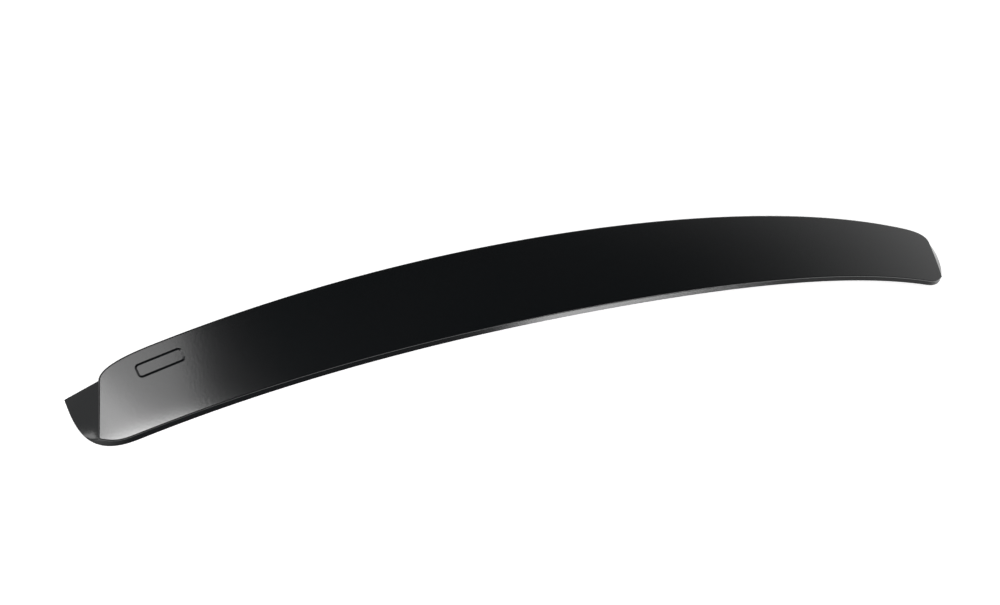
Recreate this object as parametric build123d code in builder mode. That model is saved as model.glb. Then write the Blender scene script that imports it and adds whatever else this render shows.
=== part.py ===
"""Roof spoiler: one moulded shell that bonds to the rear edge of a car roof.

The frame is the one it has on the car: +X across, +Y rearward, +Z up.
The origin is the middle of the bonding land, under the front edge.
All sizes are in millimetres.
"""

from build123d import *

import math
import os

# Blade: half its width, its depth from the front foot to the rear edge, its wall and its shape
half_width = 560.0
blade_depth = 91.0
wall = 3.5
camber = 1.5
rear_fall = 11.5

# How far the ends of the front and rear edges run forward, and down, from their middles
front_sweep = 48.0
front_crown = 36.0
rear_sweep = 65.0
rear_crown = 27.0
# Share of each of these four that gathers near the ends
front_sweep_gather = 0.31
front_crown_gather = 0.10
rear_sweep_gather = 0.17
rear_crown_gather = 0.26

# Front lip: a slanted band from the face down to the roof, over a flat land for bonding tape
lip_height = 5.0
lip_slant = 4.5
land_width = 12.0

# Rim of the face, and the band's top below it
rim_round = 1.6
under_round = 1.0
band_below_face = 1.9

# Front corner of the face: where it starts, and how far back and in the fold line starts
front_corner_length = 34.0
front_corner_back = 9.8
front_corner_in = 0.7
front_corner_reach = 14.3
front_corner_angle = 25.0
front_corner_round = 2.0
# Rear corner of the face: where it starts, and how far forward and in the fold line ends
rear_corner_length = 58.5
rear_corner_forward = 11.9
rear_corner_in = 9.6
rear_corner_reach_across = 21.0
rear_corner_reach_along = 12.2

# End fins: the foot's tip, from the front end of the fold and the end of the front foot
fin_flare = 19.2
fin_length = 40.1
fin_drop = 13.0
fin_foot_width = 6.5
# Slope and toe-out of the foot at its tip, and the two reaches of its turn round the corner
foot_rake = 24.0
foot_toe = 6.0
foot_reach_front = 46.0
foot_reach_side = 28.0

# Badge recess near the -X end, left bare
badge_length = 44.0
badge_width = 13.5
badge_depth = 1.2
badge_corner = 2.0
badge_draft = 60.0
badge_from_end = 59.0
badge_from_edge = 18.0

# Stock that the plan outline trims away, and the height of the trimming tool
overrun = 12.0
trim_height = 240.0


def gathered(x, fall, gather):
    """How far an edge curve has fallen at x: a parabola with a share gathered near the ends."""
    reach = (x / half_width) ** 2
    return fall * ((1 - gather) * reach + gather * reach**2)


def foot_point(x):
    """Foot of the front lip."""
    y = -land_width / 2 - gathered(x, front_sweep, front_sweep_gather)
    return Vector(x, y, -gathered(x, front_crown, front_crown_gather))


def front_point(x):
    """Front edge of the face, at the top of the lip."""
    return foot_point(x) + Vector(0, lip_slant, lip_height)


def rear_point(x):
    """Rear edge of the face."""
    y = blade_depth - land_width / 2 - gathered(x, rear_sweep, rear_sweep_gather)
    return Vector(x, y, lip_height - rear_fall - gathered(x, rear_crown, rear_crown_gather))


def face_point(x, y):
    """Point of the face above a place in plan."""
    front = front_point(x)
    rear = rear_point(x)
    share = (y - front.Y) / (rear.Y - front.Y)
    rise = camber * (1 - (2 * share - 1) ** 2)
    return Vector(x, y, front.Z + (rear.Z - front.Z) * share + rise)


def in_plan(point):
    """The same point, seen from above."""
    return Vector(point.X, point.Y)


def direction(angle):
    """Unit vector in plan at an angle from +X."""
    return Vector(math.cos(math.radians(angle)), math.sin(math.radians(angle)))


def tangent(curve, x):
    """Unit tangent of an edge curve at x."""
    return (curve(x + 1) - curve(x - 1)).normalized()


# Blade stock: one smooth skin from end to end, through stations closer together at the ends
half_stations = [half_width * share for share in (0.25, 0.5, 0.71, 0.875)]
inner_stations = [-x for x in reversed(half_stations)] + [0] + half_stations
stock_end = half_width + overrun

with BuildPart() as blade:
    for x in (-stock_end, *inner_stations, stock_end):
        y_front = front_point(x).Y - overrun
        y_rear = rear_point(x).Y + overrun
        row = [face_point(x, y) for y in (y_front, (y_front + y_rear) / 2, y_rear)]
        top = [Vector(point.Y, point.Z) for point in row]
        under = [point - Vector(0, wall) for point in top]
        with BuildSketch(Plane(origin=(x, 0, 0), x_dir=(0, 1, 0), z_dir=(1, 0, 0))):
            with BuildLine():
                ThreePointArc(*top)
                Line(top[2], under[2])
                ThreePointArc(*reversed(under))
                Line(under[0], top[0])
            make_face()
    loft()

# Plan outline of the face: front edge, front corners, straight fold lines, rear corners, rear edge
front_corner_x = half_width - front_corner_length
rear_corner_x = half_width - rear_corner_length
front_turn = in_plan(front_point(front_corner_x))
rear_turn = in_plan(rear_point(rear_corner_x))
fold_front_x = half_width - front_corner_in
fold_rear_x = half_width - rear_corner_in
fold_front = in_plan(front_point(fold_front_x)) + Vector(0, front_corner_back)
fold_rear = in_plan(rear_point(fold_rear_x)) - Vector(0, rear_corner_forward)
along_front = in_plan(tangent(front_point, front_corner_x))
along_rear = in_plan(tangent(rear_point, rear_corner_x))
along_fold = (fold_rear - fold_front).normalized()

with BuildPart() as outline:
    with BuildSketch(Plane.XY.offset(-trim_height / 2)):
        with BuildLine():
            front_ends = (-front_corner_x, *inner_stations, front_corner_x)
            Spline(*[in_plan(front_point(x)) for x in front_ends])
            right_corner = Bezier(
                front_turn,
                front_turn + along_front * front_corner_reach,
                fold_front - direction(front_corner_angle) * front_corner_reach,
                fold_front,
            )
            right_fold = Line(fold_front, fold_rear)
            right_rear_corner = Bezier(
                fold_rear,
                fold_rear + along_fold * rear_corner_reach_along,
                rear_turn + along_rear * rear_corner_reach_across,
                rear_turn,
            )
            mirror([right_corner, right_fold, right_rear_corner], about=Plane.YZ)
            rear_ends = (-rear_corner_x, *inner_stations, rear_corner_x)
            Spline(*[in_plan(rear_point(x)) for x in rear_ends])
        make_face()
    extrude(amount=trim_height)
    uprights = outline.edges().filter_by(Axis.Z)
    near_fold = uprights.filter_by_position(Axis.Y, fold_front.Y - 0.1, fold_front.Y + 0.1)
    fillet(near_fold, front_corner_round)

# Face plate: the blade stock trimmed to that outline, with its rim rounded above and below
with BuildPart() as plate:
    add(blade.part)
    add(outline.part, mode=Mode.INTERSECT)
    broad = plate.faces().sort_by(SortBy.AREA)[-2:].sort_by(Axis.Z)
    fillet(broad[0].edges(), under_round)
    broad = plate.faces().sort_by(SortBy.AREA)[-2:].sort_by(Axis.Z)
    fillet(broad[-1].edges(), rim_round)


def band_section(foot, along, top, width):
    """Section of the slanted band: from its foot up to the rim, and as wide inward as the land."""
    inward = Vector(-along.Y, along.X).normalized()
    plane = Plane(origin=foot, x_dir=inward, z_dir=inward.cross(top - foot))
    corners = [foot, foot + inward * width, top + inward * width, top]
    with BuildSketch(plane) as section:
        with BuildLine():
            Polyline(*[plane.to_local_coords(corner) for corner in corners], close=True)
        make_face()
    return section.sketch


def band_top(place):
    """Where the band's outer face meets the rim, above a place on the plan outline."""
    return face_point(place.X, place.Y) - Vector(0, 0, band_below_face)


# Front band: the lip, under the front edge from corner to corner
with BuildPart() as front_band:
    sections = []
    for x in front_ends:
        along = tangent(foot_point, x)
        sections.append(band_section(foot_point(x), along, band_top(front_point(x)), land_width))
    loft(sections)

# End band: the lip turns the front corner and opens out into the fin, down to the foot's tip
tip_z = foot_point(half_width).Z - fin_drop
tip = Vector(fold_front.X + fin_flare, fold_front.Y + fin_length, tip_z)
foot_slope = math.tan(math.radians(foot_rake))
tip_along = (direction(90 - foot_toe) - Vector(0, 0, foot_slope)).normalized()
foot_turn = foot_point(front_corner_x)
foot_path = Bezier(
    foot_turn,
    foot_turn + tangent(foot_point, front_corner_x) * foot_reach_front,
    tip - tip_along * foot_reach_side,
    tip,
)
# Shares of the foot's path that face even steps along the face's corner, and then along the fold
corner_shares = (0.0, 0.12, 0.26, 0.46)
fin_shares = (0.46, 0.64, 0.82, 1.0)

with BuildPart() as end_band:
    for edge, shares in ((right_corner, corner_shares), (right_fold, fin_shares)):
        sections = []
        for step, share in enumerate(shares):
            top = band_top(edge @ (step / (len(shares) - 1)))
            narrowed = min(1, share / fin_shares[0])
            width = land_width + (fin_foot_width - land_width) * narrowed
            sections.append(band_section(foot_path @ share, foot_path % share, top, width))
        loft(sections)

# Badge recess: a shallow tray with sloping sides, in line with the rear edge
badge_edge = rear_point(badge_from_end - half_width)
badge_across = tangent(rear_point, badge_edge.X)
badge_rearward = Vector(-badge_across.Y, badge_across.X).normalized()
badge_place = badge_edge - badge_rearward * badge_from_edge
badge_spot = face_point(badge_place.X, badge_place.Y)
slope_across = face_point(badge_spot.X + 1, badge_spot.Y) - badge_spot
slope_rearward = face_point(badge_spot.X, badge_spot.Y + 1) - badge_spot
face_normal = slope_across.cross(slope_rearward)
badge_plane = Plane(origin=badge_spot, x_dir=badge_across, z_dir=face_normal)
side_run = badge_depth * math.tan(math.radians(badge_draft))

with BuildPart() as badge_recess:
    with BuildSketch(badge_plane.offset(-badge_depth)):
        floor_length = badge_length - 2 * side_run
        floor_width = badge_width - 2 * side_run
        RectangleRounded(floor_length, floor_width, badge_corner)
    extrude(amount=badge_depth * 2, taper=-badge_draft)

# One moulding
with BuildPart() as spoiler_shell:
    add(plate.part)
    add(front_band.part)
    add(end_band.part)
    mirror(end_band.part, about=Plane.YZ)
    add(badge_recess.part, mode=Mode.SUBTRACT)

spoiler_shell.part.label = "spoiler_shell"
os.makedirs("parts", exist_ok=True)
export_step(spoiler_shell.part, "parts/spoiler_shell.step")
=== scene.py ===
"""Looks of the roof spoiler: a dense smooth skin of the solid's own form, its finish and its studio.

Lengths are in metres, and the frame is the solid's: +X across, +Y rearward, +Z up.
"""

import math

import bpy
import numpy as np
from mathutils import Matrix, Vector
from mathutils.geometry import delaunay_2d_cdt, tessellate_polygon


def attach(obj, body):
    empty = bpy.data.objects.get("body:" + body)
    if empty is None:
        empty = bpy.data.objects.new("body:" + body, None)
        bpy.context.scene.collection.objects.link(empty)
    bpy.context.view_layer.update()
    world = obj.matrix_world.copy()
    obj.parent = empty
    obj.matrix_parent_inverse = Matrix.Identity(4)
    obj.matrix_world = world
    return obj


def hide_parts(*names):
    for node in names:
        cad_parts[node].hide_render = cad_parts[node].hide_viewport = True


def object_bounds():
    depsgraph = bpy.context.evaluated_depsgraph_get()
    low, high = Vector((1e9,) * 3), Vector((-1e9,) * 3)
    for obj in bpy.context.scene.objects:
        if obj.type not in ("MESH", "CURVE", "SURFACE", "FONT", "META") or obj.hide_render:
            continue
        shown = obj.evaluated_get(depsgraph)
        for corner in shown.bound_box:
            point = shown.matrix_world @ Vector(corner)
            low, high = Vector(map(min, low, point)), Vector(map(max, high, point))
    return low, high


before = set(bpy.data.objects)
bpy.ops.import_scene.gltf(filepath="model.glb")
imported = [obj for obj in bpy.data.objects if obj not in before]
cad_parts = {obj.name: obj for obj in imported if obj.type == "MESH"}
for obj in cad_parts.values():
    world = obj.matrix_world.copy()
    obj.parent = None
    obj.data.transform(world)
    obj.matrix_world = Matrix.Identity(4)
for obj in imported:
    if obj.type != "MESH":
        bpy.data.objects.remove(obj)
solid_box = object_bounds()

MM = 0.001

# The solid's own sizes
HALF_WIDTH = 560 * MM
BLADE_DEPTH = 91 * MM
WALL = 3.5 * MM
CAMBER = 1.5 * MM
REAR_FALL = 11.5 * MM
FRONT_SWEEP, FRONT_SWEEP_GATHER = 48 * MM, 0.31
FRONT_CROWN, FRONT_CROWN_GATHER = 36 * MM, 0.10
REAR_SWEEP, REAR_SWEEP_GATHER = 65 * MM, 0.17
REAR_CROWN, REAR_CROWN_GATHER = 27 * MM, 0.26
LIP_HEIGHT = 5 * MM
LIP_SLANT = 4.5 * MM
LAND_WIDTH = 12 * MM
RIM_ROUND = 1.6 * MM
UNDER_ROUND = 1 * MM
BAND_BELOW_FACE = 1.9 * MM
FRONT_CORNER_LENGTH = 34 * MM
FRONT_CORNER_BACK = 9.8 * MM
FRONT_CORNER_IN = 0.7 * MM
FRONT_CORNER_REACH = 14.3 * MM
FRONT_CORNER_ANGLE = math.radians(25)
FRONT_CORNER_ROUND = 2 * MM
REAR_CORNER_LENGTH = 58.5 * MM
REAR_CORNER_FORWARD = 11.9 * MM
REAR_CORNER_IN = 9.6 * MM
REAR_CORNER_REACH_ACROSS = 21 * MM
REAR_CORNER_REACH_ALONG = 12.2 * MM
FIN_FLARE = 19.2 * MM
FIN_LENGTH = 40.1 * MM
FIN_DROP = 13 * MM
FIN_FOOT_WIDTH = 6.5 * MM
FOOT_RAKE = math.radians(24)
FOOT_TOE = math.radians(6)
FOOT_REACH_FRONT = 46 * MM
FOOT_REACH_SIDE = 28 * MM
BADGE_LENGTH = 44 * MM
BADGE_WIDTH = 13.5 * MM
BADGE_DEPTH = 1.2 * MM
BADGE_CORNER = 2 * MM
BADGE_DRAFT = math.radians(60)
BADGE_FROM_END = 59 * MM
BADGE_FROM_EDGE = 18 * MM
# Shares of the foot's path that face even steps along the face's corner, up to the fold
CORNER_SHARES = (0.0, 0.12, 0.26, 0.46)

# How finely the skin is made
STATION_STEP = 4 * MM
CORNER_STEPS = 16
FOLD_STEPS = 16
RIM_STEPS = 8
EDGE_STEPS = 5
SPOT_STEP = 5 * MM
SPOT_ROWS = 16
SPOT_CLEARANCE = 2 * MM
# Softening of the band's two lower edges, and of the badge recess's edges
FOOT_SOFTENING = 0.4 * MM
BADGE_SOFTENING = 0.35 * MM
# Shares of the band's outer face, from the rim down to its softened foot
OUTER_SHARES = (0, 0.2, 0.4, 0.6, 0.8)
# Reach of the handles of a small rounding, as a share of the length that it takes
ROUNDING_REACH = 0.55
# How far the normals of the fins' end caps rise
CAP_RISE = 0.3
# Step over which the face's slopes are taken, and halvings in the search for the band's upper end
SLOPE_STEP = 0.1 * MM
SEARCH_STEPS = 40
# Points closer together than this are one point
SAME_POINT = 1e-7

UP = np.array([0.0, 0.0, 1.0])

# Plastic: the two ends of its tint, its roughness, and the size of its cloudiness and its orange peel
TINT_BLUE = (0.0055, 0.0068, 0.0076, 1)
TINT_GREY = (0.0068, 0.0072, 0.0078, 1)
PLAIN_TINT = (0.005, 0.0055, 0.006, 1)
LEAST_ROUGHNESS = 0.13
MOST_ROUGHNESS = 0.18
PLAIN_ROUGHNESS = 0.155
CLOUDS_PER_METRE = 9
PEEL_PER_METRE = 420
PEEL_STRENGTH = 0.06
PEEL_DEPTH = 0.4 * MM
# Places of the two colours among a mix node's inputs, and of the mixed one among its outputs
MIX_FIRST, MIX_SECOND, MIX_RESULT = 6, 7, 2

# Camera: its place, the ways back and right from it, and its lens and sensor in millimetres
CAMERA_PLACE = (-0.7208, -0.0731, 0.9789)
CAMERA_BACK = (-0.499, -0.0817, 0.8627)
CAMERA_RIGHT = (0.8556, -0.2047, 0.4755)
CAMERA_LENS = 39.6
CAMERA_SENSOR = 36

# Floor: half its width, its grey, and its glow to the camera and in reflections
FLOOR_HALF = 8.0
FLOOR_GREY = 0.8
FLOOR_GLOW = 0.7
# Surroundings: their brightness as seen, and as they light rough surfaces
WORLD_SEEN = 1.0
WORLD_FILL = 0.6
# Lamps: what most of them point at, and the plan angle, rise and distance of the lip's lamp
NEAR_END = (-0.5, 0, 0)
LIP_LAMP_ANGLE = math.radians(-49.7)
LIP_LAMP_RISE = math.radians(22.6)
LIP_LAMP_DISTANCE = 2.2

# Studio dome: its radius and its cells, and the elevation in degrees where its glow fades, and over how much
DOME_RADIUS = 7.0
DOME_COLUMNS = 72
DOME_ROWS = 45
DOME_GREY = 0.02
FADE_ELEVATION = 31.2
FADE_SOFTNESS = 4.8
# Sides of the studio: azimuth and half width in degrees, and how far each one shifts the fade
FRONT_SIDE = (297, 50, -21)
REAR_SIDE = (95, 38, -36)
LEFT_SIDE = (168, 32, 30)
LEFT_DIMMING = 0.35


def gathered(x, fall, gather):
    """How far an edge curve has fallen at x: a parabola with a share gathered near the ends."""
    reach = (x / HALF_WIDTH) ** 2
    return fall * ((1 - gather) * reach + gather * reach**2)


def gathered_slope(x, fall, gather):
    """Slope of that curve at x."""
    across = x / HALF_WIDTH
    return fall * (2 * (1 - gather) * across + 4 * gather * across**3) / HALF_WIDTH


def foot_point(x):
    """Foot of the front lip."""
    y = -LAND_WIDTH / 2 - gathered(x, FRONT_SWEEP, FRONT_SWEEP_GATHER)
    return np.array([x, y, -gathered(x, FRONT_CROWN, FRONT_CROWN_GATHER)])


def foot_tangent(x):
    """Unit direction of the front lip's foot, towards +X."""
    y = -gathered_slope(x, FRONT_SWEEP, FRONT_SWEEP_GATHER)
    return unit(np.array([1.0, y, -gathered_slope(x, FRONT_CROWN, FRONT_CROWN_GATHER)]))


def front_edge(x):
    """Y and z of the face's front edge at x, for a number or an array."""
    y = LIP_SLANT - LAND_WIDTH / 2 - gathered(x, FRONT_SWEEP, FRONT_SWEEP_GATHER)
    return y, LIP_HEIGHT - gathered(x, FRONT_CROWN, FRONT_CROWN_GATHER)


def rear_edge(x):
    """Y and z of the face's rear edge at x, for a number or an array."""
    y = BLADE_DEPTH - LAND_WIDTH / 2 - gathered(x, REAR_SWEEP, REAR_SWEEP_GATHER)
    return y, LIP_HEIGHT - REAR_FALL - gathered(x, REAR_CROWN, REAR_CROWN_GATHER)


def face_height(x, y):
    """Height of the face above a place in plan, for numbers or arrays."""
    front_y, front_z = front_edge(x)
    rear_y, rear_z = rear_edge(x)
    share = (y - front_y) / (rear_y - front_y)
    return front_z + (rear_z - front_z) * share + CAMBER * (1 - (2 * share - 1) ** 2)


def face_slopes(x, y):
    """Slopes of the face along X and Y."""
    step = SLOPE_STEP
    along_x = (face_height(x + step, y) - face_height(x - step, y)) / (2 * step)
    along_y = (face_height(x, y + step) - face_height(x, y - step)) / (2 * step)
    return along_x, along_y


def face_normals(points):
    """Unit normals of the face above an array of points."""
    along_x, along_y = face_slopes(points[:, 0], points[:, 1])
    return unit(np.stack([-along_x, -along_y, np.ones(len(points))], axis=1))


def unit(vectors):
    """The vector, or each of several, at length 1."""
    return vectors / np.linalg.norm(vectors, axis=-1, keepdims=True)


def heading(angle):
    """Unit vector in plan at an angle from +X."""
    return np.array([math.cos(angle), math.sin(angle)])


def bezier(points, share):
    """Point and unit tangent of a cubic Bezier curve."""
    a, b, c, d = points
    rest = 1 - share
    place = rest**3 * a + 3 * rest**2 * share * b + 3 * rest * share**2 * c + share**3 * d
    slope = rest**2 * (b - a) + 2 * rest * share * (c - b) + share**2 * (d - c)
    return place, unit(slope)


def through(values, share):
    """Smooth curve through values that stand at even steps from 0 to 1."""
    steps = np.linspace(0, 1, len(values))
    total = 0.0
    for i, value in enumerate(values):
        others = np.delete(steps, i)
        total += value * np.prod((share - others) / (steps[i] - others))
    return total


def put_in_scene(name, data):
    """A new object of the given data, in the scene."""
    piece = bpy.data.objects.new(name, data)
    bpy.context.scene.collection.objects.link(piece)
    return piece


class Skin:
    """A mesh grown patch by patch. Patches share the points where they meet, and keep their normals."""

    def __init__(self):
        self.points = []
        self.known = {}
        self.faces = []
        self.normals = []

    def place(self, point):
        """Number of a point, which is added if it isn't there yet."""
        key = tuple(round(float(c) / SAME_POINT) for c in point)
        if key not in self.known:
            self.known[key] = len(self.points)
            self.points.append(point)
        return self.known[key]

    def face(self, corners, normals):
        """Adds one face, turned so that its front is on the side of its normals."""
        ring = []
        for corner, normal in zip([self.place(c) for c in corners], normals):
            if corner not in [known for known, _ in ring]:
                ring.append((corner, normal))
        if len(ring) < 3:
            return
        a, b, c = (np.array(self.points[ring[i][0]]) for i in (0, len(ring) // 3, -1))
        if np.dot(np.cross(b - a, c - a), sum(normal for _, normal in ring)) < 0:
            ring.reverse()
        self.faces.append([corner for corner, _ in ring])
        self.normals.extend(normal for _, normal in ring)

    def strip(self, grid, closed=False, outward=None, normals=None):
        """Adds a patch from a grid of points. Its normals follow its form, towards outward."""
        if normals is None:
            normals = grid_normals(grid, closed, outward)
        count = len(grid)
        for i in range(count if closed else count - 1):
            j = (i + 1) % count
            for k in range(grid.shape[1] - 1):
                cells = ((i, k), (i, k + 1), (j, k + 1), (j, k))
                self.face([grid[c] for c in cells], [normals[c] for c in cells])

    def fill(self, rings, spots, normal_of):
        """Fills the area between closed rings, in plan, through loose spots inside it."""
        points = np.concatenate([*rings, spots])
        edges = []
        start = 0
        for ring in rings:
            count = len(ring)
            edges += [(start + i, start + (i + 1) % count) for i in range(count)]
            start += count
        flat = [Vector(point[:2] / MM) for point in points]
        made = delaunay_2d_cdt(flat, edges, [], 0, 1e-6, True)
        source = np.array([found[0] for found in made[3]])
        triangles = source[np.array(made[2])]
        centres = points[triangles].mean(axis=1)
        keep = inside(rings[0], centres)
        for hole in rings[1:]:
            keep &= ~inside(hole, centres)
        normals = normal_of(points)
        for chosen in triangles[keep]:
            self.face(points[chosen], normals[chosen])

    def finished(self, name):
        """The mesh as an object, with its own normals."""
        mesh = bpy.data.meshes.new(name)
        mesh.from_pydata([tuple(p) for p in self.points], [], self.faces)
        mesh.shade_smooth()
        mesh.normals_split_custom_set([tuple(n) for n in self.normals])
        return put_in_scene(name, mesh)


def grid_normals(grid, closed, outward):
    """Unit normals of a grid of points, from its own slopes, on the side that outward points to."""
    if closed:
        wrapped = np.concatenate([grid[-1:], grid, grid[:1]])
        along = np.gradient(wrapped, axis=0)[1:-1]
    else:
        along = np.gradient(grid, axis=0, edge_order=2)
    order = 2 if grid.shape[1] > 2 else 1
    across = np.gradient(grid, axis=1, edge_order=order)
    normals = unit(np.cross(along, across))
    sides = np.sum(normals * outward, axis=-1)
    return normals if sides.sum() > 0 else -normals


def make_outline():
    """Stations round the right half of the face, from the middle of its front to the middle of its rear.

    Each is the place in plan, the direction of travel, and what the band has there: its foot, its
    foot's direction and its land's width, or nothing where there is no band.
    """
    corner_x = HALF_WIDTH - FRONT_CORNER_LENGTH
    rear_corner_x = HALF_WIDTH - REAR_CORNER_LENGTH
    stations = []

    for x in np.linspace(0, corner_x, round(corner_x / STATION_STEP) + 1):
        slope = -gathered_slope(x, FRONT_SWEEP, FRONT_SWEEP_GATHER)
        place = np.array([x, front_edge(x)[0]])
        band = (foot_point(x), foot_tangent(x), LAND_WIDTH)
        stations.append((place, unit(np.array([1, slope])), band))

    turn, travel = stations[-1][:2]
    fold_x = HALF_WIDTH - FRONT_CORNER_IN
    fold_front = np.array([fold_x, front_edge(fold_x)[0] + FRONT_CORNER_BACK])
    rear_x = HALF_WIDTH - REAR_CORNER_IN
    fold_rear = np.array([rear_x, rear_edge(rear_x)[0] - REAR_CORNER_FORWARD])
    along_fold = unit(fold_rear - fold_front)
    corner = (
        turn,
        turn + travel * FRONT_CORNER_REACH,
        fold_front - heading(FRONT_CORNER_ANGLE) * FRONT_CORNER_REACH,
        fold_front,
    )

    tip_z = foot_point(HALF_WIDTH)[2] - FIN_DROP
    tip = np.array([fold_x + FIN_FLARE, fold_front[1] + FIN_LENGTH, tip_z])
    toe = heading(math.pi / 2 - FOOT_TOE)
    tip_along = unit(np.array([toe[0], toe[1], -math.tan(FOOT_RAKE)]))
    foot_turn = foot_point(corner_x)
    foot_path = (
        foot_turn,
        foot_turn + foot_tangent(corner_x) * FOOT_REACH_FRONT,
        tip - tip_along * FOOT_REACH_SIDE,
        tip,
    )

    def band_at(share):
        foot, along = bezier(foot_path, share)
        narrowed = min(1, share / CORNER_SHARES[-1])
        return foot, along, LAND_WIDTH + (FIN_FOOT_WIDTH - LAND_WIDTH) * narrowed

    turned = math.acos(np.dot(heading(FRONT_CORNER_ANGLE), along_fold))
    trimmed = FRONT_CORNER_ROUND * math.tan(turned / 2)
    trimmed_share = 1 - trimmed / (3 * FRONT_CORNER_REACH)
    for t in np.linspace(0, trimmed_share, CORNER_STEPS + 1)[1:]:
        place, travel = bezier(corner, t)
        stations.append((place, travel, band_at(through(CORNER_SHARES, t))))

    start_share = through(CORNER_SHARES, trimmed_share)
    fold_length = np.linalg.norm(fold_rear - fold_front)
    fin_share = 1 - CORNER_SHARES[-1]
    end_share = CORNER_SHARES[-1] + fin_share * trimmed / fold_length
    start, travel = stations[-1][:2]
    round_corner = (
        start,
        start + travel * trimmed * ROUNDING_REACH,
        fold_front + along_fold * trimmed * (1 - ROUNDING_REACH),
        fold_front + along_fold * trimmed,
    )
    for t in np.linspace(0, 1, EDGE_STEPS + 1)[1:]:
        place, travel = bezier(round_corner, t)
        stations.append((place, travel, band_at(start_share + (end_share - start_share) * t)))

    for t in np.linspace(trimmed / fold_length, 1, FOLD_STEPS + 1)[1:]:
        place = fold_front + (fold_rear - fold_front) * t
        stations.append((place, along_fold, band_at(CORNER_SHARES[-1] + fin_share * t)))

    rear_slope = gathered_slope(rear_corner_x, REAR_SWEEP, REAR_SWEEP_GATHER)
    rear_turn = np.array([rear_corner_x, rear_edge(rear_corner_x)[0]])
    rear_corner = (
        fold_rear,
        fold_rear + along_fold * REAR_CORNER_REACH_ALONG,
        rear_turn + unit(np.array([1, -rear_slope])) * REAR_CORNER_REACH_ACROSS,
        rear_turn,
    )
    for t in np.linspace(0, 1, CORNER_STEPS + 1)[1:]:
        place, travel = bezier(rear_corner, t)
        stations.append((place, travel, None))
    for x in np.linspace(rear_corner_x, 0, round(rear_corner_x / STATION_STEP) + 1)[1:]:
        slope = gathered_slope(x, REAR_SWEEP, REAR_SWEEP_GATHER)
        stations.append((np.array([x, rear_edge(x)[0]]), unit(np.array([-1, slope])), None))
    return stations


def mirrored_stations(stations):
    """The same stations on the left half, in the order that carries on round the face."""
    flip = np.array([-1, 1])
    flip_back = np.array([1, -1, -1])
    flip_place = np.array([-1, 1, 1])
    made = []
    for place, travel, band in reversed(stations[1:-1]):
        if band is not None:
            foot, along, width = band
            band = (foot * flip_place, along * flip_back, width)
        made.append((place * flip, travel * -flip, band))
    return made


def rim_rows(stations, below, side, radius, steps):
    """Rows of the rounding along an edge of the plate, from top to bottom.

    The side is 1 for the face's edge and -1 for the underside's, which lies below the face.
    """
    rows = []
    for place, travel, _ in stations:
        out = np.array([travel[1], -travel[0]])
        slope = np.dot(face_slopes(*place), out)
        lean = math.atan(slope)
        level = face_height(*place) - below
        drop = side * radius * math.hypot(1, slope)
        centre_z = level - slope * radius - drop
        first, last = (-lean, math.pi / 2) if side > 0 else (math.pi / 2, math.pi - lean)
        row = []
        for angle in np.linspace(first, last, steps + 1):
            reach = radius * (math.sin(angle) - 1)
            row.append([*(place + out * reach), centre_z + radius * math.cos(angle)])
        rows.append(row)
    return np.array(rows)


def softened(before, corner, after):
    """Points of a small rounding in place of a corner, between points before and after it."""
    start = corner + unit(before - corner) * FOOT_SOFTENING
    end = corner + unit(after - corner) * FOOT_SOFTENING
    shares = np.linspace(0, 1, EDGE_STEPS)[:, None]
    return (1 - shares) ** 2 * start + 2 * (1 - shares) * shares * corner + shares**2 * end


def band_rows(stations):
    """Rows of the band at each station that has one: down its outer face, across its land, up inside."""
    rows = []
    for place, _, (foot, along, width) in stations:
        inward = np.array([*unit(np.array([-along[1], along[0]])), 0.0])
        top = np.array([*place, face_height(*place) - BAND_BELOW_FACE])
        heel = foot + inward * width
        wall_top = top + inward * width
        low, high = 0.0, 1.0
        for _ in range(SEARCH_STEPS):
            middle = (low + high) / 2
            spot = heel + (wall_top - heel) * middle
            if spot[2] < face_height(spot[0], spot[1]) - WALL:
                low = middle
            else:
                high = middle
        under = heel + (wall_top - heel) * low
        under[2] = face_height(under[0], under[1]) - WALL
        outer = [top + (foot - top) * share for share in OUTER_SHARES]
        foot_round = softened(top, foot, heel)
        heel_round = softened(foot, heel, under)
        middle = (foot_round[-1] + heel_round[0]) / 2
        inner = [heel_round[-1] + (under - heel_round[-1]) * share for share in (0.5, 1)]
        rows.append([*outer, *foot_round, middle, *heel_round, *inner])
    return np.array(rows)


def inside(ring, points):
    """Which points lie inside a closed ring, in plan."""
    found = np.zeros(len(points), bool)
    for a, b in zip(ring, np.roll(ring, -1, axis=0)):
        crosses = (a[1] > points[:, 1]) != (b[1] > points[:, 1])
        if a[1] != b[1]:
            reach = (b[0] - a[0]) * (points[:, 1] - a[1]) / (b[1] - a[1]) + a[0]
            found ^= crosses & (points[:, 0] < reach)
    return found


def clear_of(ring, points, gap):
    """Which points keep a gap from a ring, in plan."""
    apart = np.linalg.norm(points[:, None, :2] - ring[None, :, :2], axis=2)
    return apart.min(axis=1) > gap


def face_spots(ring, holes, below):
    """Loose spots spread over the area inside a ring and outside the holes, at a depth below the face."""
    xs = np.arange(-HALF_WIDTH, HALF_WIDTH, SPOT_STEP)
    shares = np.linspace(0, 1, SPOT_ROWS)
    x, share = (values.ravel() for values in np.meshgrid(xs, shares))
    front, rear = front_edge(x)[0], rear_edge(x)[0]
    y = front + (rear - front) * share
    spots = np.stack([x, y, face_height(x, y) - below], axis=1)
    keep = inside(ring, spots) & clear_of(ring, spots, SPOT_CLEARANCE)
    for hole in holes:
        keep &= ~inside(hole, spots) & clear_of(hole, spots, SPOT_CLEARANCE)
    return spots[keep]


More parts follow.
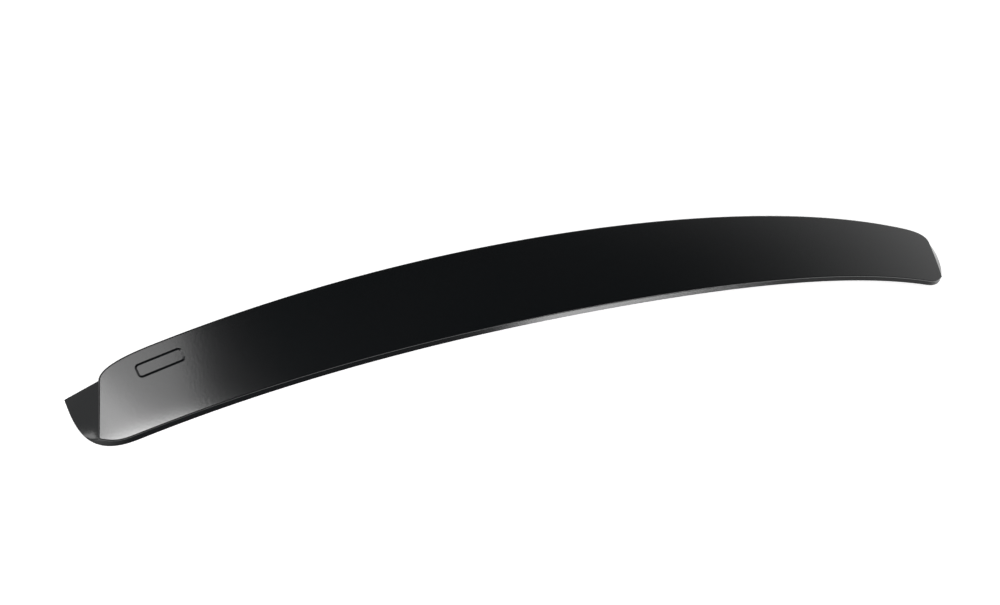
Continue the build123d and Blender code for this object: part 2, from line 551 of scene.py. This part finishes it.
def badge_rows():
    """Rows down into the badge recess, from the face to its floor, all round it."""
    edge_x = BADGE_FROM_END - HALF_WIDTH
    across = unit(np.array([1, -gathered_slope(edge_x, REAR_SWEEP, REAR_SWEEP_GATHER)]))
    rearward = np.array([-across[1], across[0]])
    centre = np.array([edge_x, rear_edge(edge_x)[0]]) - rearward * BADGE_FROM_EDGE
    run = BADGE_DEPTH * math.tan(BADGE_DRAFT)
    bend_end = math.pi / 2 - BADGE_DRAFT
    soft = BADGE_SOFTENING * math.tan(bend_end / 2)
    profile = []
    for bend in np.linspace(0, bend_end, EDGE_STEPS):
        reach = BADGE_SOFTENING * math.sin(bend) - soft
        profile.append((run - reach, BADGE_SOFTENING * (1 - math.cos(bend))))
    profile += [(run - offset, BADGE_DEPTH - depth) for offset, depth in reversed(profile)]
    half_length = BADGE_LENGTH / 2 - run - BADGE_CORNER
    half_width = BADGE_WIDTH / 2 - run - BADGE_CORNER
    rows = []
    corners = ((1, 1, 0), (-1, 1, 1), (-1, -1, 2), (1, -1, 3))
    for side_x, side_y, quarter in corners:
        for angle in np.linspace(0, math.pi / 2, 2 * EDGE_STEPS):
            out = heading(angle + quarter * math.pi / 2)
            hub = np.array([side_x * half_length, side_y * half_width])
            row = []
            for offset, depth in profile:
                spot = hub + out * (BADGE_CORNER + offset)
                place = centre + across * spot[0] + rearward * spot[1]
                row.append([*place, face_height(*place) - depth])
            rows.append(row)
    return np.array(rows)


def make_skin():
    """The whole moulding as one closed skin."""
    right = make_outline()
    stations = right + mirrored_stations(right)
    band_count = sum(station[2] is not None for station in right)
    fin_end = band_count - 1
    rear = stations[fin_end : len(stations) - fin_end + 1]
    front = stations[len(stations) - fin_end :] + stations[: fin_end + 1]
    outs = np.array([[travel[1], -travel[0], 0] for _, travel, _ in stations])
    rear_outs = np.array([[travel[1], -travel[0], 0] for _, travel, _ in rear])
    skin = Skin()

    rim = rim_rows(stations, 0, 1, RIM_ROUND, RIM_STEPS)
    skin.strip(rim, closed=True, outward=outs[:, None, :] + UP)
    tops = np.array([[*p, face_height(*p) - BAND_BELOW_FACE] for p, _, _ in stations])
    skin.strip(np.stack([rim[:, -1], tops], axis=1), closed=True, outward=outs[:, None, :])

    under_rim = rim_rows(rear, WALL, -1, UNDER_ROUND, EDGE_STEPS)
    rear_tops = tops[fin_end : len(stations) - fin_end + 1]
    side = np.stack([rear_tops, under_rim[:, 0]], axis=1)
    skin.strip(side, outward=rear_outs[:, None, :])
    skin.strip(under_rim, outward=rear_outs[:, None, :] - UP)

    band = band_rows(front)
    foot_start = len(OUTER_SHARES)
    land_end = foot_start + EDGE_STEPS + 1
    front_outs = np.array([[travel[1], -travel[0], 0] for _, travel, _ in front])
    skin.strip(band[:, : foot_start + EDGE_STEPS], outward=front_outs[:, None, :] + UP)
    skin.strip(band[:, foot_start + EDGE_STEPS - 1 : land_end + 1], outward=-UP)
    skin.strip(band[:, land_end:], outward=-front_outs[:, None, :] - UP)

    badge = badge_rows()
    badge_normals = grid_normals(badge, True, UP)
    skin.strip(badge, closed=True, normals=badge_normals)
    top_spots = face_spots(rim[:, 0], [badge[:, 0]], 0)
    skin.fill([rim[:, 0], badge[:, 0]], top_spots, face_normals)
    floor_spots = face_spots(badge[:, -1], [], BADGE_DEPTH)
    skin.fill([badge[:, -1]], floor_spots, face_normals)

    under_ring = np.concatenate([under_rim[:, -1], band[:, -1]])
    under_spots = face_spots(under_ring, [], WALL)
    skin.fill([under_ring], under_spots, lambda points: -face_normals(points))

    for column, side_rows, travel in (
        (band[-1], under_rim[0], rear[0][1]),
        (band[0], under_rim[-1], -rear[-1][1]),
    ):
        cap = np.concatenate([column, side_rows[::-1]])
        flat = unit(np.array([travel[0], travel[1], CAP_RISE]))
        for triangle in tessellate_polygon([[Vector(point) for point in cap]]):
            skin.face([cap[i] for i in triangle], [flat] * 3)
    return skin.finished("spoiler_skin")


def set_value(node, name, value):
    """Sets an input of a shader node by name."""
    node.inputs[name].default_value = value


def new_material(name):
    """A new material, with its nodes, its links and its shader."""
    material = bpy.data.materials.new(name)
    material.use_nodes = True
    nodes, links = material.node_tree.nodes, material.node_tree.links
    return material, nodes, links, nodes["Principled BSDF"]


def satin_black_plastic():
    """Smooth satin black moulded plastic, with an uneven sheen and a faint orange peel."""
    material, nodes, links, shader = new_material("satin_black_plastic")
    set_value(shader, "Roughness", PLAIN_ROUGHNESS)
    set_value(shader, "Base Color", PLAIN_TINT)
    set_value(shader, "IOR", 1.5)

    place = nodes.new("ShaderNodeTexCoord")
    cloud = nodes.new("ShaderNodeTexNoise")
    set_value(cloud, "Scale", CLOUDS_PER_METRE)
    set_value(cloud, "Detail", 4)
    links.new(place.outputs["Object"], cloud.inputs["Vector"])
    sheen = nodes.new("ShaderNodeMapRange")
    set_value(sheen, "To Min", LEAST_ROUGHNESS)
    set_value(sheen, "To Max", MOST_ROUGHNESS)
    links.new(cloud.outputs["Fac"], sheen.inputs["Value"])
    links.new(sheen.outputs["Result"], shader.inputs["Roughness"])

    tint = nodes.new("ShaderNodeMix")
    tint.data_type = "RGBA"
    set_value(tint, MIX_FIRST, TINT_BLUE)
    set_value(tint, MIX_SECOND, TINT_GREY)
    links.new(cloud.outputs["Fac"], tint.inputs["Factor"])
    links.new(tint.outputs[MIX_RESULT], shader.inputs["Base Color"])

    peel = nodes.new("ShaderNodeTexNoise")
    set_value(peel, "Scale", PEEL_PER_METRE)
    set_value(peel, "Detail", 2)
    links.new(place.outputs["Object"], peel.inputs["Vector"])
    bump = nodes.new("ShaderNodeBump")
    set_value(bump, "Strength", PEEL_STRENGTH)
    set_value(bump, "Distance", PEEL_DEPTH)
    links.new(peel.outputs["Fac"], bump.inputs["Height"])
    links.new(bump.outputs["Normal"], shader.inputs["Normal"])
    return material


def make_floor():
    """A plain pale floor at the height of the fins' tips. It shows white, but for soft shadows."""
    level = solid_box[0].z
    corners = [(-1, -1), (1, -1), (1, 1), (-1, 1)]
    points = [(x * FLOOR_HALF, y * FLOOR_HALF, level) for x, y in corners]
    mesh = bpy.data.meshes.new("floor")
    mesh.from_pydata(points, [], [(0, 1, 2, 3)])
    floor = put_in_scene("floor", mesh)
    material, nodes, links, shader = new_material("pale_floor")
    set_value(shader, "Roughness", 0.9)
    set_value(shader, "Base Color", (FLOOR_GREY, FLOOR_GREY, FLOOR_GREY, 1))
    set_value(shader, "Emission Color", (1, 1, 1, 1))
    seen = nodes.new("ShaderNodeLightPath")
    glows = seen.outputs["Is Camera Ray"]
    for ray in ("Is Glossy Ray", "Is Transmission Ray"):
        either = nodes.new("ShaderNodeMath")
        either.operation = "MAXIMUM"
        links.new(glows, either.inputs[0])
        links.new(seen.outputs[ray], either.inputs[1])
        glows = either.outputs[0]
    strength = nodes.new("ShaderNodeMath")
    strength.operation = "MULTIPLY"
    set_value(strength, 1, FLOOR_GLOW)
    links.new(glows, strength.inputs[0])
    links.new(strength.outputs[0], shader.inputs["Emission Strength"])
    mesh.materials.append(material)


def soft_lamp(name, place, size, along, radiance, target=NEAR_END):
    """A rectangular soft lamp of a given radiance, turned to a target, its width along a plan angle."""
    width, height = size
    data = bpy.data.lights.new(name, "AREA")
    data.shape = "RECTANGLE"
    data.size = width
    data.size_y = height
    data.energy = radiance * math.pi * width * height
    away = (Vector(place) - Vector(target)).normalized()
    across = Vector((*heading(along), 0))
    across = (across - away * across.dot(away)).normalized()
    turned = Matrix((across, away.cross(across), away)).transposed().to_4x4()
    lamp = put_in_scene(name, data)
    lamp.matrix_world = Matrix.Translation(place) @ turned
    lamp.visible_camera = False


def make_surroundings():
    """Even white surroundings, dimmer where they light rough surfaces."""
    world = bpy.data.worlds.new("surroundings")
    world.use_nodes = True
    bpy.context.scene.world = world
    nodes, links = world.node_tree.nodes, world.node_tree.links
    background = nodes["Background"]
    set_value(background, "Color", (1, 1, 1, 1))
    seen = nodes.new("ShaderNodeLightPath")
    level = nodes.new("ShaderNodeMapRange")
    set_value(level, "To Min", WORLD_SEEN)
    set_value(level, "To Max", WORLD_FILL)
    links.new(seen.outputs["Is Diffuse Ray"], level.inputs["Value"])
    links.new(level.outputs["Result"], background.inputs["Strength"])


def hang_lamps():
    """Three soft lamps over the near end, one to its left and one in front for the lip."""
    soft_lamp("key_lamp", (-0.709, 0.097, 1.6), size=(0.157, 1.362), along=0.301, radiance=6.06)
    soft_lamp("key_glow", (-0.703, 0.216, 1.62), size=(0.549, 1.242), along=0.053, radiance=4.08)
    soft_lamp("front_lamp", (-0.643, -0.262, 1.58), size=(0.522, 0.371), along=0.323, radiance=9.64)
    soft_lamp("side_lamp", (-1.81, -0.14, 0.82), size=(0.45, 0.34), along=math.pi / 2, radiance=4)
    level_reach = heading(LIP_LAMP_ANGLE) * math.cos(LIP_LAMP_RISE)
    lip_place = LIP_LAMP_DISTANCE * np.array([*level_reach, math.sin(LIP_LAMP_RISE)])
    across = LIP_LAMP_ANGLE + math.pi / 2
    soft_lamp("lip_lamp", lip_place, size=(0.767, 0.307), along=across, radiance=9.43, target=(0, 0, 0))


def bump_round(angle, middle, width):
    """1 near the middle angle, falling to 0 beyond its width, in degrees."""
    apart = (angle - middle + 180) % 360 - 180
    return math.exp(-((apart / width) ** 4))


def studio_brightness(azimuth, elevation):
    """Brightness of the studio in a direction, in degrees: light low down, dark overhead and behind."""
    fade = FADE_ELEVATION
    for middle, width, shift in (FRONT_SIDE, REAR_SIDE, LEFT_SIDE):
        fade += shift * bump_round(azimuth, middle, width)
    middle, width, _ = LEFT_SIDE
    level = 1 - LEFT_DIMMING * bump_round(azimuth, middle, width)
    return level / (1 + math.exp((elevation - fade) / FADE_SOFTNESS))


def studio_dome():
    """A dome round the spoiler that glows low down and is dark overhead, as a studio's walls and ceiling.

    It isn't sampled as a lamp, which keeps renders quick.
    """
    points, levels, faces = [], [], []
    for column in range(DOME_COLUMNS):
        azimuth = 2 * math.pi * column / DOME_COLUMNS
        for row in range(DOME_ROWS + 1):
            elevation = math.pi / 2 * row / DOME_ROWS
            flat = DOME_RADIUS * math.cos(elevation)
            height = solid_box[0].z + DOME_RADIUS * math.sin(elevation)
            points.append((flat * math.cos(azimuth), flat * math.sin(azimuth), height))
            levels.append(studio_brightness(math.degrees(azimuth), math.degrees(elevation)))
    for column in range(DOME_COLUMNS):
        beside = (column + 1) % DOME_COLUMNS
        for row in range(DOME_ROWS):
            a, b = column * (DOME_ROWS + 1) + row, beside * (DOME_ROWS + 1) + row
            faces.append((a, b, b + 1, a + 1))
    mesh = bpy.data.meshes.new("studio_dome")
    mesh.from_pydata(points, [], faces)
    brightness = mesh.attributes.new("brightness", "FLOAT", "POINT")
    brightness.data.foreach_set("value", levels)
    material, nodes, links, shader = new_material("studio_dome")
    set_value(shader, "Base Color", (DOME_GREY, DOME_GREY, DOME_GREY, 1))
    set_value(shader, "Roughness", 1)
    set_value(shader, "Emission Color", (1, 1, 1, 1))
    glow = nodes.new("ShaderNodeAttribute")
    glow.attribute_name = "brightness"
    links.new(glow.outputs["Fac"], shader.inputs["Emission Strength"])
    material.cycles.emission_sampling = "NONE"
    mesh.materials.append(material)
    dome = put_in_scene("studio_dome", mesh)
    dome.visible_camera = False


def place_camera():
    """The photograph's view, from above the left end."""
    data = bpy.data.cameras.new("camera")
    data.lens = CAMERA_LENS
    data.sensor_width = CAMERA_SENSOR
    back = Vector(CAMERA_BACK).normalized()
    up = back.cross(Vector(CAMERA_RIGHT)).normalized()
    right = up.cross(back)
    turned = Matrix((right, up, back)).transposed().to_4x4()
    camera = put_in_scene("camera", data)
    camera.matrix_world = Matrix.Translation(CAMERA_PLACE) @ turned
    bpy.context.scene.camera = camera


place_camera()
make_floor()
make_surroundings()
hang_lamps()
studio_dome()

skin = make_skin()
skin.data.materials.append(satin_black_plastic())
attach(skin, "root")
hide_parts("spoiler_shell")

bpy.context.scene.view_settings.view_transform = "Standard"
